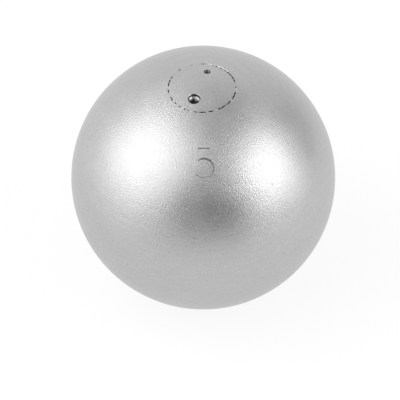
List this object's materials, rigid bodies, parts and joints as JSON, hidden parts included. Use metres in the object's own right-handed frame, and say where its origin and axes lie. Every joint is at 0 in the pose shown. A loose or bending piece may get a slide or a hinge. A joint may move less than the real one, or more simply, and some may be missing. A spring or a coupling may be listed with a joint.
{
  "type": "shot put",
  "caption": "Turned steel throwing ball with a flush screw plug, and lead trim discs packed in its bore.",
  "frame": {"origin": "centre of the ball", "axes": "+Z along the bore, out through the middle of the closing plug; the engraved numeral faces -Y and up"},
  "size_m": [0.108, 0.108, 0.108],
  "materials": {
    "turned_steel": "satin",
    "plug_steel": "satin",
    "pad_rubber": "matte",
    "packing_wood": "matte",
    "trim_lead": "matte"
  },
  "bodies": {
    "ball": {"ball_body": "turned_steel", "upper_packing": "packing_wood", "trim_disc_1": "trim_lead", "trim_disc_2": "trim_lead", "trim_disc_3": "trim_lead", "lower_packing": "packing_wood"},
    "pad": {"pressure_pad": "pad_rubber"},
    "plug": {"closing_plug": "plug_steel"}
  },
  "joints": [
    {"name": "plug_lift", "type": "slide", "parent": "ball", "child": "pad", "axis": [0, 0, 1], "range_m": [0, 0.024]},
    {"name": "plug_turn", "type": "hinge", "parent": "pad", "child": "plug", "pos_m": [0, 0, 0.045], "axis": [0, 0, 1], "range_deg": [0, 2880]}
  ],
  "couplings": [
    {"joint": "plug_lift", "follows": "plug_turn", "m_per_rad": 0.00047746}
  ]
}
